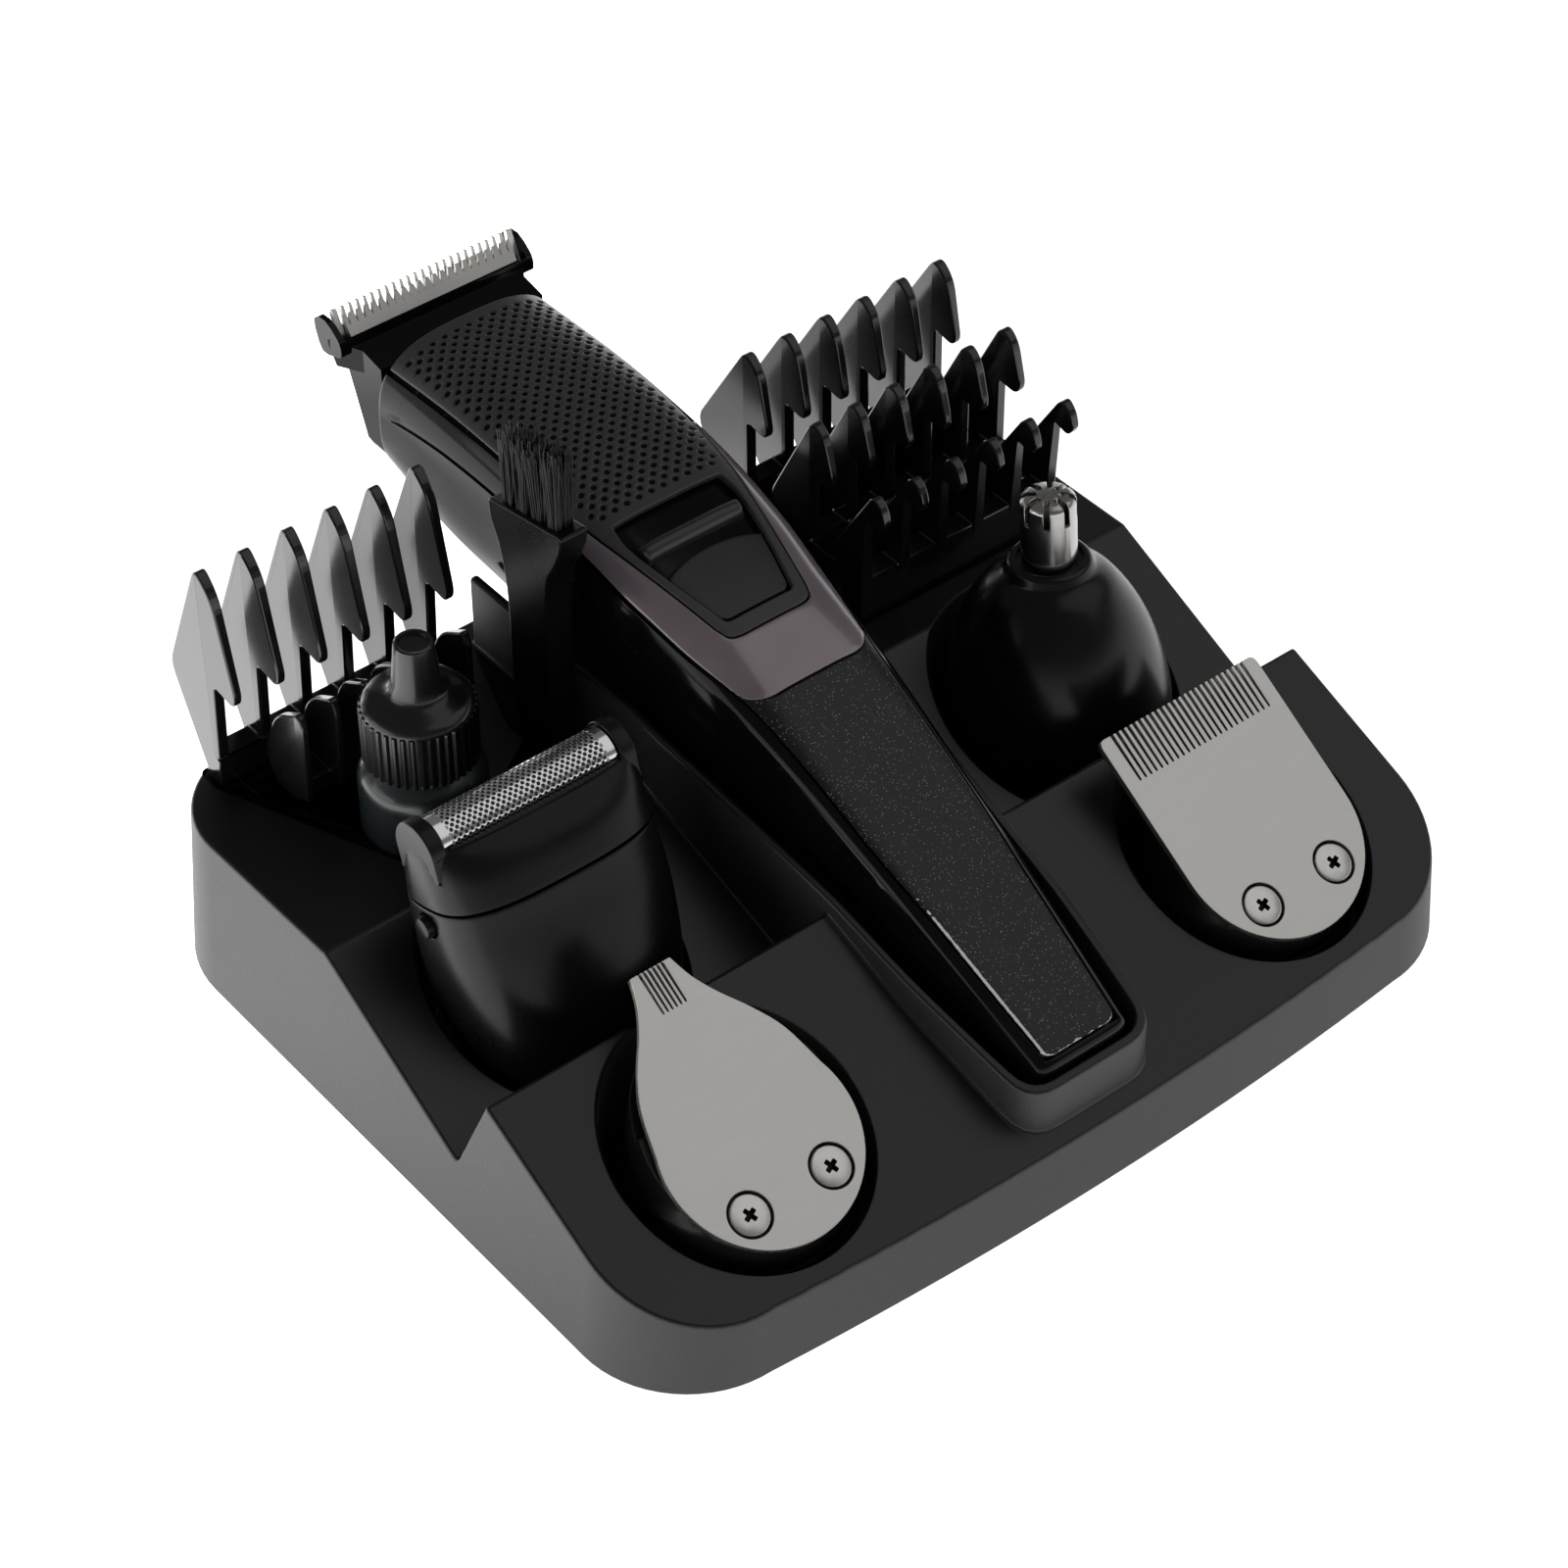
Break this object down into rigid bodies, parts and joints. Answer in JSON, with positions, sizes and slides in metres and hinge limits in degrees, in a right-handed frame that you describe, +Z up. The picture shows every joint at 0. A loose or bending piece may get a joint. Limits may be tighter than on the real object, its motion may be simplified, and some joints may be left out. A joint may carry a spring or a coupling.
{
  "type": "hair clipper kit",
  "caption": "Cordless hair clipper lying in a table stand, with spare cutting heads, a foil shaver, a nose trimmer, guide combs, an oil bottle and a brush in wells and slots around it.",
  "frame": {"origin": "centre of the kit's bounding box, on the surface the stand's feet rest on", "axes": "+Z up, +Y from the clipper's handle tip to its cutting head, +X to the right of a user facing the kit from the handle side"},
  "size_m": [0.16, 0.1688, 0.0897],
  "materials": {
    "satin_black": "satin moulded",
    "rubber": "matte",
    "gloss_black": "gloss",
    "grip_grey": "matte with small dimples",
    "flake_black": "gloss with fine metallic flakes",
    "mauve_trim": "gloss tinted",
    "steel": "satin ground",
    "chrome": "polished",
    "motor_can": "drawn",
    "comb_black": "semi-gloss",
    "oil_bottle": "translucent",
    "bristle": "fibres",
    "battery": "shrink sleeve",
    "board": "solder mask"
  },
  "bodies": {
    "stand": {"stand_shell": "satin_black", "foot_pad_front_left": "rubber", "foot_pad_front_right": "rubber", "foot_pad_rear_left": "rubber", "foot_pad_rear_right": "rubber"},
    "clipper": {"upper_housing": "gloss_black", "lower_housing": "gloss_black", "grip_panel": "grip_grey", "switch_trim": "mauve_trim", "face_panel": "flake_black", "drive_motor": "motor_can", "motor_bracket": "satin_black", "battery_cell": "battery", "circuit_board": "board", "charging_socket": "steel"},
    "power_switch": {"power_switch": "grip_grey"},
    "motor_shaft": {"motor_shaft": "steel"},
    "t_head": {"t_head_housing": "gloss_black", "t_fixed_blade": "steel", "t_blade_screw_left": "steel", "t_blade_screw_right": "steel"},
    "t_cutter": {"t_cutter": "steel", "t_cutter_yoke": "satin_black"},
    "precision_head": {"precision_head_body": "satin_black", "precision_fixed_blade": "steel", "precision_screw_left": "steel", "precision_screw_right": "steel"},
    "precision_cutter": {"precision_cutter": "steel"},
    "wide_head": {"wide_head_body": "satin_black", "wide_fixed_blade": "steel", "wide_screw_left": "steel", "wide_screw_right": "steel"},
    "wide_cutter": {"wide_cutter": "steel"},
    "shaver_head": {"shaver_body": "satin_black", "shaver_foil_frame": "satin_black", "shaver_foil": "chrome"},
    "shaver_cutter": {"shaver_cutter": "steel"},
    "shaver_latch_left": {"shaver_latch_left": "satin_black"},
    "shaver_latch_right": {"shaver_latch_right": "satin_black"},
    "nose_head": {"nose_head_body": "gloss_black", "nose_guard_tube": "chrome"},
    "nose_rotor": {"nose_rotor": "steel"},
    "comb_longest": {"comb_longest": "comb_black"},
    "comb_long": {"comb_long": "comb_black"},
    "comb_medium": {"comb_medium": "comb_black"},
    "comb_short": {"comb_short": "comb_black"},
    "comb_narrow": {"comb_narrow": "comb_black"},
    "oil_bottle": {"oil_bottle": "oil_bottle"},
    "oil_bottle_cap": {"oil_bottle_cap": "satin_black"},
    "brush": {"brush_handle": "satin_black", "brush_bristles": "bristle"}
  },
  "joints": [
    {"name": "clipper_lift", "type": "slide", "parent": "stand", "child": "clipper", "axis": [0, 0, 1], "range_m": [0, 0.06]},
    {"name": "power_switch_slide", "type": "slide", "parent": "clipper", "child": "power_switch", "axis": [0, 0.9622, 0.2723], "range_m": [0, 0.003]},
    {"name": "motor_shaft_turn", "type": "hinge", "parent": "clipper", "child": "motor_shaft", "pos_m": [0, 0.04676, 0.054], "axis": [0, 1, 0], "continuous": true},
    {"name": "t_head_pull", "type": "slide", "parent": "clipper", "child": "t_head", "axis": [0, 1, 0], "range_m": [0, 0.012]},
    {"name": "t_cutter_stroke", "type": "slide", "parent": "t_head", "child": "t_cutter", "axis": [1, 0, 0], "range_m": [-0.001, 0.001]},
    {"name": "precision_head_lift", "type": "slide", "parent": "stand", "child": "precision_head", "axis": [0, 0, 1], "range_m": [0, 0.04]},
    {"name": "precision_cutter_stroke", "type": "slide", "parent": "precision_head", "child": "precision_cutter", "axis": [1, 0, 0], "range_m": [-0.0008, 0.0008]},
    {"name": "wide_head_lift", "type": "slide", "parent": "stand", "child": "wide_head", "axis": [0, 0, 1], "range_m": [0, 0.04]},
    {"name": "wide_cutter_stroke", "type": "slide", "parent": "wide_head", "child": "wide_cutter", "axis": [1, 0, 0], "range_m": [-0.001, 0.001]},
    {"name": "shaver_head_lift", "type": "slide", "parent": "stand", "child": "shaver_head", "axis": [0, 0, 1], "range_m": [0, 0.045]},
    {"name": "shaver_cutter_stroke", "type": "slide", "parent": "shaver_head", "child": "shaver_cutter", "axis": [1, 0, 0], "range_m": [-0.0012, 0.0012]},
    {"name": "shaver_latch_left_press", "type": "slide", "parent": "shaver_head", "child": "shaver_latch_left", "axis": [1, 0, 0], "range_m": [0, 0.0008], "stiffness_N_per_m": 400, "springref_m": -0.0003},
    {"name": "shaver_latch_right_press", "type": "slide", "parent": "shaver_head", "child": "shaver_latch_right", "axis": [-1, 0, 0], "range_m": [0, 0.0008], "stiffness_N_per_m": 400, "springref_m": -0.0003},
    {"name": "nose_head_lift", "type": "slide", "parent": "stand", "child": "nose_head", "axis": [0, 0, 1], "range_m": [0, 0.045]},
    {"name": "nose_rotor_turn", "type": "hinge", "parent": "nose_head", "child": "nose_rotor", "pos_m": [0.049, -0.01274, 0.052], "axis": [0, 0.0941, 0.9956], "continuous": true},
    {"name": "comb_longest_lift", "type": "slide", "parent": "stand", "child": "comb_longest", "axis": [0, 0, 1], "range_m": [0, 0.03]},
    {"name": "comb_long_lift", "type": "slide", "parent": "stand", "child": "comb_long", "axis": [0, 0, 1], "range_m": [0, 0.03]},
    {"name": "comb_medium_lift", "type": "slide", "parent": "stand", "child": "comb_medium", "axis": [0, 0, 1], "range_m": [0, 0.03]},
    {"name": "comb_short_lift", "type": "slide", "parent": "stand", "child": "comb_short", "axis": [0, 0, 1], "range_m": [0, 0.03]},
    {"name": "comb_narrow_lift", "type": "slide", "parent": "stand", "child": "comb_narrow", "axis": [0, 0, 1], "range_m": [0, 0.005]},
    {"name": "oil_bottle_lift", "type": "slide", "parent": "stand", "child": "oil_bottle", "axis": [0, 0, 1], "range_m": [0, 0.04]},
    {"name": "oil_bottle_cap_turn", "type": "hinge", "parent": "oil_bottle", "child": "oil_bottle_cap", "pos_m": [-0.049, 0.01546, 0.048], "axis": [0, 0, 1], "continuous": true},
    {"name": "brush_lift", "type": "slide", "parent": "stand", "child": "brush", "axis": [0, 0, 1], "range_m": [0, 0.05]}
  ]
}
